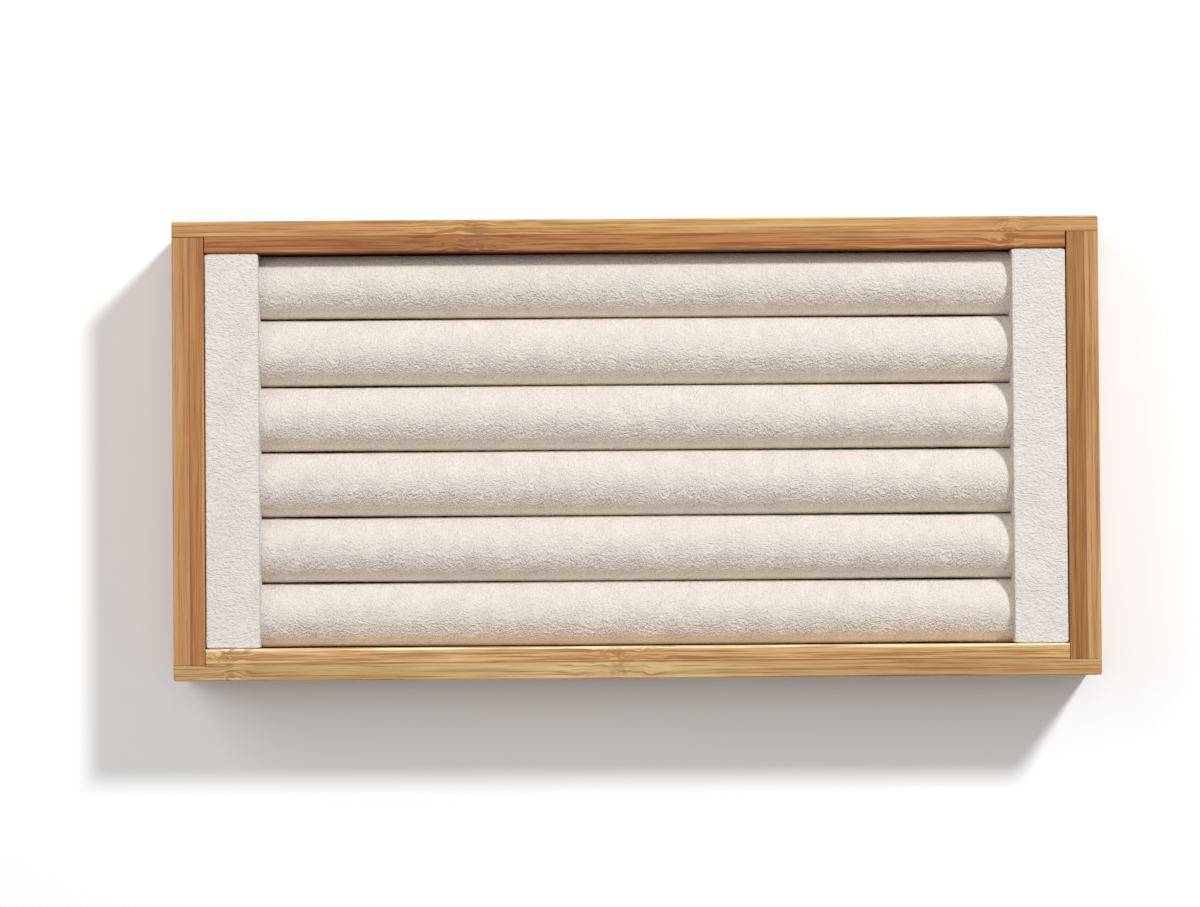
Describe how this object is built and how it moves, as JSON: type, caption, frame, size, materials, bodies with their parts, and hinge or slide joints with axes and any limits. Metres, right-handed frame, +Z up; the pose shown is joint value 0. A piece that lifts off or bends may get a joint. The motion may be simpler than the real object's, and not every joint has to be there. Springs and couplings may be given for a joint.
{
  "type": "ring holder tray",
  "caption": "Low laminated bamboo tray with a lift-out insert of fabric-covered foam rolls between two padded end bars; rings stand on edge in the slots between the rolls.",
  "frame": {"origin": "centre of the tray's underside", "axes": "+X along the rolls, +Y towards the back rail, +Z up, with the rings' slots open upwards"},
  "size_m": [0.23, 0.114, 0.03],
  "materials": {
    "bamboo": "satin",
    "base_ply": "matte",
    "greyboard": "matte",
    "fibreboard": "matte",
    "microfibre": "matte",
    "foam": "matte"
  },
  "bodies": {
    "tray": {"rail_back": "bamboo", "rail_front": "bamboo", "rail_left": "bamboo", "rail_right": "bamboo", "base_panel": "base_ply"},
    "insert": {"insert_board": "greyboard", "end_bar_core_left": "fibreboard", "end_bar_cover_left": "microfibre", "end_bar_core_right": "fibreboard", "end_bar_cover_right": "microfibre", "roll_foam_1": "foam", "roll_foam_2": "foam", "roll_foam_3": "foam", "roll_foam_4": "foam", "roll_foam_5": "foam", "roll_foam_6": "foam", "roll_cover_1": "microfibre", "roll_cover_2": "microfibre", "roll_cover_3": "microfibre", "roll_cover_4": "microfibre", "roll_cover_5": "microfibre", "roll_cover_6": "microfibre"}
  },
  "joints": [
    {"name": "insert_lift", "type": "slide", "parent": "tray", "child": "insert", "axis": [0, 0, 1], "range_m": [0, 0.06]}
  ]
}
